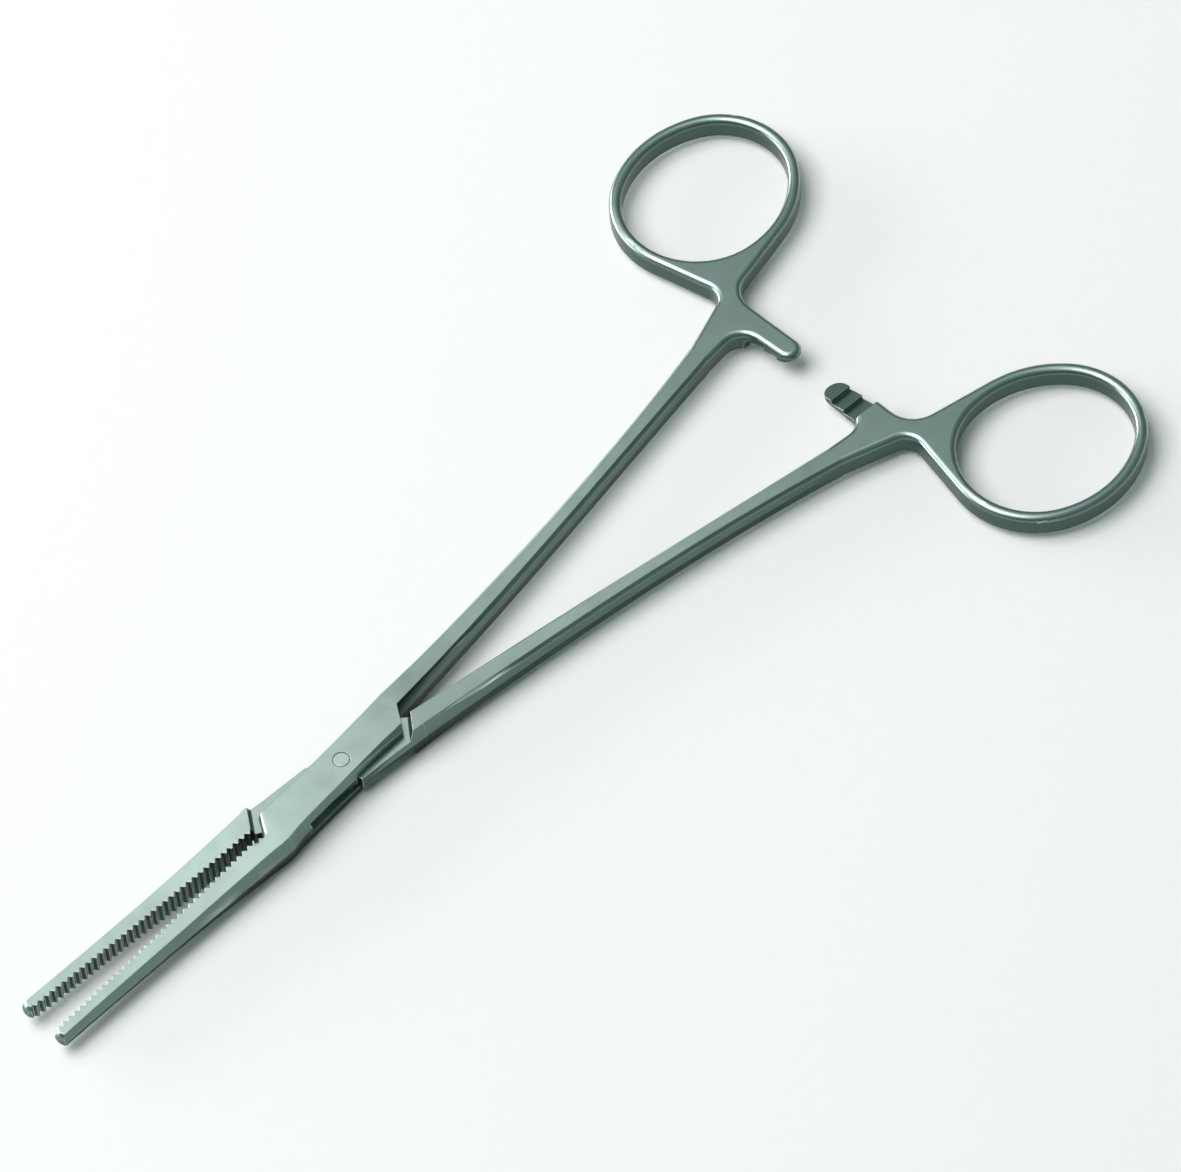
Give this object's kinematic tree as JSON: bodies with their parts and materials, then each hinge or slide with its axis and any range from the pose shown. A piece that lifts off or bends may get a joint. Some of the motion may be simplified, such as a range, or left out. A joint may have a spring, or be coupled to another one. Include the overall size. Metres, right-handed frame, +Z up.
{
  "type": "haemostatic forceps",
  "caption": "Straight box-lock haemostatic forceps with cross-serrated jaws, slim bevelled shanks, finger rings and ratchet bars, lying slightly open.",
  "frame": {"origin": "on the pivot axis, at the underside of the lock", "axes": "+X from the pivot towards the finger rings, midway between the handles; +Y across, towards the handle of the box half; +Z up along the pivot axis, with the forceps lying flat"},
  "size_m": [0.1768, 0.0932, 0.0058],
  "materials": {
    "steel": "satin",
    "pin_steel": "satin"
  },
  "bodies": {
    "box_side": {"box_half": "steel", "pivot_pin": "pin_steel"},
    "tongue_side": {"tongue_half": "steel"}
  },
  "joints": [
    {"name": "lock_hinge", "type": "hinge", "parent": "box_side", "child": "tongue_side", "pos_m": [0, 0, 0.0029], "axis": [0, 0, 1], "range_deg": [-27, 5]}
  ]
}
